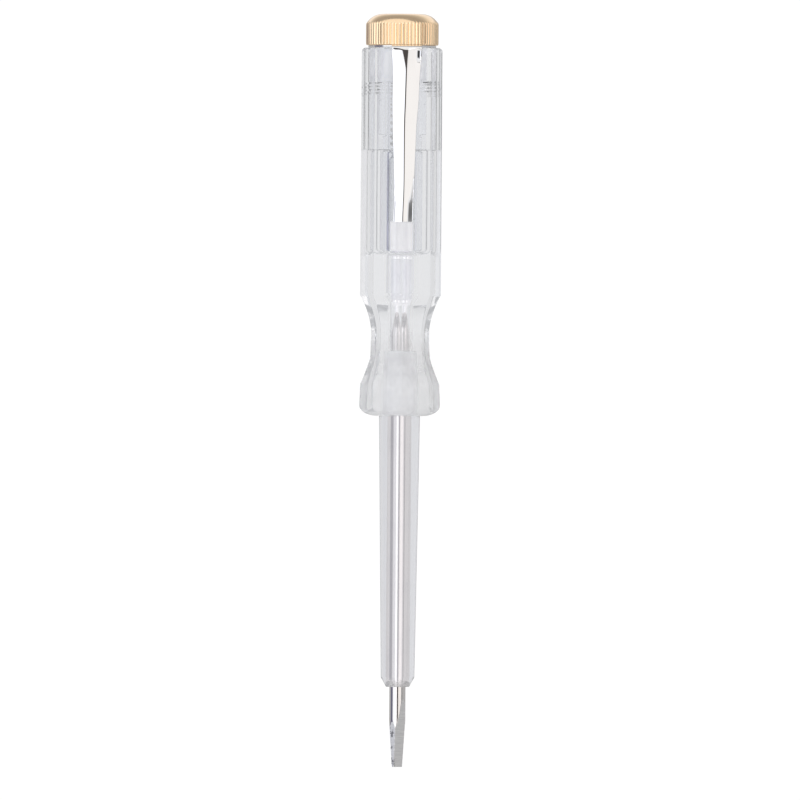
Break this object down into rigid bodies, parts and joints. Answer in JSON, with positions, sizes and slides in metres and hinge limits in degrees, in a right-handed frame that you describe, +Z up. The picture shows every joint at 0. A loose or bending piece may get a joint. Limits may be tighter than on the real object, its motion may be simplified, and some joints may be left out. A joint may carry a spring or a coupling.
{
  "type": "voltage tester pen",
  "caption": "Screwdriver-tipped mains tester pen: clear octagonal handle with a neon lamp, resistor and spring inside, knurled brass cap and pocket clip.",
  "frame": {"origin": "on the surface that the pen lies on, under the middle of its length", "axes": "+Y along the pen from the blade's tip to the cap, +Z up, +X to the side that the clip leans to"},
  "size_m": [0.014, 0.14, 0.0158],
  "materials": {
    "clear_plastic": "clear moulded plastic, polished, faintly cool",
    "lamp_glass": "clear drawn glass",
    "stem_glass": "pale grey sintered glass, satin",
    "blade_steel": "bright drawn steel, ground matte on the tip's flats",
    "clip_chrome": "bright nickel-chrome plate",
    "contact_nickel": "nickel-plated wire and pressings, satin",
    "cap_brass": "pale polished brass, lacquered, straight knurl",
    "resistor_ceramic": "white glazed ceramic"
  },
  "bodies": {
    "handle_body": {"handle": "clear_plastic", "blade_sleeve": "clear_plastic", "blade": "blade_steel", "resistor_body": "resistor_ceramic", "resistor_cap_lower": "contact_nickel", "resistor_cap_upper": "contact_nickel", "lamp_carrier": "clear_plastic", "lamp_bulb": "lamp_glass", "lamp_stem": "stem_glass", "lamp_electrode_a": "contact_nickel", "lamp_electrode_b": "contact_nickel", "lamp_lead_upper": "contact_nickel", "lamp_lead_lower": "contact_nickel"},
    "cap_carriage": {"contact_spring": "contact_nickel"},
    "cap_unit": {"end_plug": "clear_plastic", "cap_stud": "contact_nickel", "cap": "cap_brass"},
    "clip_mount": {"clip_ring": "clip_chrome"},
    "clip_spring_arm": {"clip_arm": "clip_chrome"}
  },
  "joints": [
    {"name": "cap_lift", "type": "slide", "parent": "handle_body", "child": "cap_carriage", "axis": [0, 1, 0], "range_m": [0, 0.005], "deforming": ["contact_spring"]},
    {"name": "cap_turn", "type": "hinge", "parent": "cap_carriage", "child": "cap_unit", "pos_m": [0, 0.0637, 0.00698], "axis": [0, 1, 0], "range_deg": [0, 1440]},
    {"name": "clip_swivel", "type": "hinge", "parent": "cap_carriage", "child": "clip_mount", "pos_m": [0, 0.0639, 0.00698], "axis": [0, 1, 0], "continuous": true},
    {"name": "clip_flex", "type": "hinge", "parent": "clip_mount", "child": "clip_spring_arm", "pos_m": [0.0031, 0.0628, 0.01446], "axis": [-0.9239, 0, 0.3827], "range_deg": [0, 7], "stiffness_Nm_per_rad": 1.7}
  ],
  "couplings": [
    {"joint": "cap_lift", "follows": "cap_turn", "m_per_rad": 0.00019894}
  ]
}
